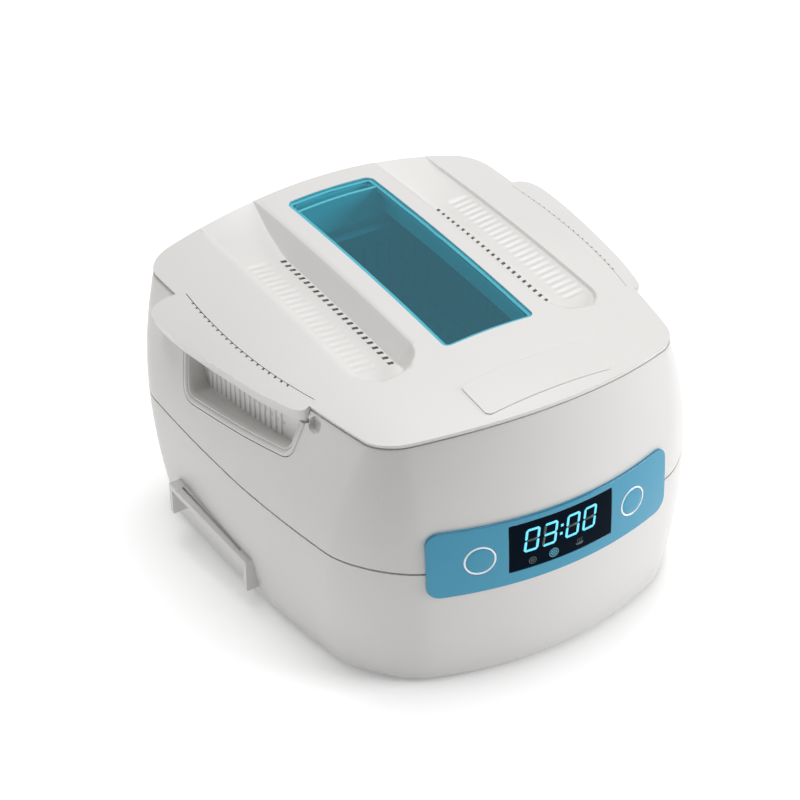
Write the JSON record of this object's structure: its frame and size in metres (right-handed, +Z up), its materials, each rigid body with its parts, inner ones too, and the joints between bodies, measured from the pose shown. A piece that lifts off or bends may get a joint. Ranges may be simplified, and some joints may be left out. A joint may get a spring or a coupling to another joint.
{
  "type": "ultrasonic cleaner",
  "caption": "Household ultrasonic cleaner with a lift-off windowed lid, slotted basket, stainless tank, fan-cooled base, front display with press keys and side carrying handles.",
  "frame": {"origin": "middle of the resting face under the rubber feet", "axes": "+Z up, the display panel faces -Y, +X to the right of someone facing the panel from the back side looking along +Y"},
  "size_m": [0.278, 0.2701, 0.1738],
  "materials": {
    "white_abs": "satin moulded ABS",
    "grey_abs": "textured ABS",
    "rubber": "matt moulded rubber",
    "stainless": "deep-drawn brushed stainless",
    "silicone": "soft translucent silicone",
    "aluminium": "turned or extruded aluminium",
    "piezo": "fired piezo ceramic with silvered faces",
    "steel_mass": "turned steel",
    "steel_screw": "plated steel",
    "heater": "silicone heater mat",
    "black_plastic": "black nylon",
    "circuit_board": "solder-masked board",
    "copper_coil": "laminations and varnished coils",
    "capacitor_sleeve": "heat-shrink sleeve",
    "brass": "turned brass",
    "switch_body": "switch body",
    "blue_panel": "glossy tinted acrylic",
    "display_black": "black display window",
    "ring_white": "white light guide",
    "basket_plastic": "moulded polypropylene",
    "blue_window": "clear blue polycarbonate"
  },
  "bodies": {
    "housing": {"base_housing": "white_abs", "upper_housing": "white_abs", "bottom_cover": "grey_abs", "rubber_feet": "rubber", "tank": "stainless", "tank_gasket": "silicone", "transducer_horns": "aluminium", "piezo_rings": "piezo", "transducer_masses": "steel_mass", "transducer_bolts": "steel_screw", "heater_pad": "heater", "thermal_switch": "black_plastic", "power_board": "circuit_board", "transformer": "copper_coil", "heat_sink": "aluminium", "capacitors": "capacitor_sleeve", "board_standoffs": "brass", "fan_frame": "black_plastic", "power_inlet": "black_plastic", "inlet_pins": "steel_screw", "cover_screws": "steel_screw", "control_board": "circuit_board", "display_module": "black_plastic", "key_switches": "switch_body", "panel_lens": "blue_panel", "display_window": "display_black", "key_rings": "ring_white", "handle_left": "white_abs", "handle_right": "white_abs", "finger_cup_left": "white_abs", "finger_cup_right": "white_abs", "base_grip_left": "white_abs", "base_grip_right": "white_abs"},
    "lid": {"lid_shell": "white_abs", "lid_window": "blue_window", "window_gasket": "silicone", "lid_badge": "white_abs", "lid_seal": "silicone"},
    "basket": {"basket": "basket_plastic"},
    "fan": {"fan_rotor": "black_plastic"},
    "key_left": {"key_left": "blue_panel"},
    "key_right": {"key_right": "blue_panel"}
  },
  "joints": [
    {"name": "lid_lift", "type": "slide", "parent": "housing", "child": "lid", "axis": [0, 0, 1], "range_m": [0, 0.14]},
    {"name": "basket_lift", "type": "slide", "parent": "housing", "child": "basket", "axis": [0, 0, 1], "range_m": [0, 0.09]},
    {"name": "fan_spin", "type": "hinge", "parent": "housing", "child": "fan", "pos_m": [-0.048, 0.1045, 0.033], "axis": [0, 1, 0], "continuous": true},
    {"name": "key_left_press", "type": "slide", "parent": "housing", "child": "key_left", "axis": [0.2513, 0.9679, 0], "range_m": [0, 0.0006], "stiffness_N_per_m": 1500},
    {"name": "key_right_press", "type": "slide", "parent": "housing", "child": "key_right", "axis": [-0.2149, 0.9766, 0], "range_m": [0, 0.0006], "stiffness_N_per_m": 1500}
  ],
  "couplings": [
    {"joint": "basket_lift", "follows": "lid_lift", "ratio": 0.6}
  ]
}
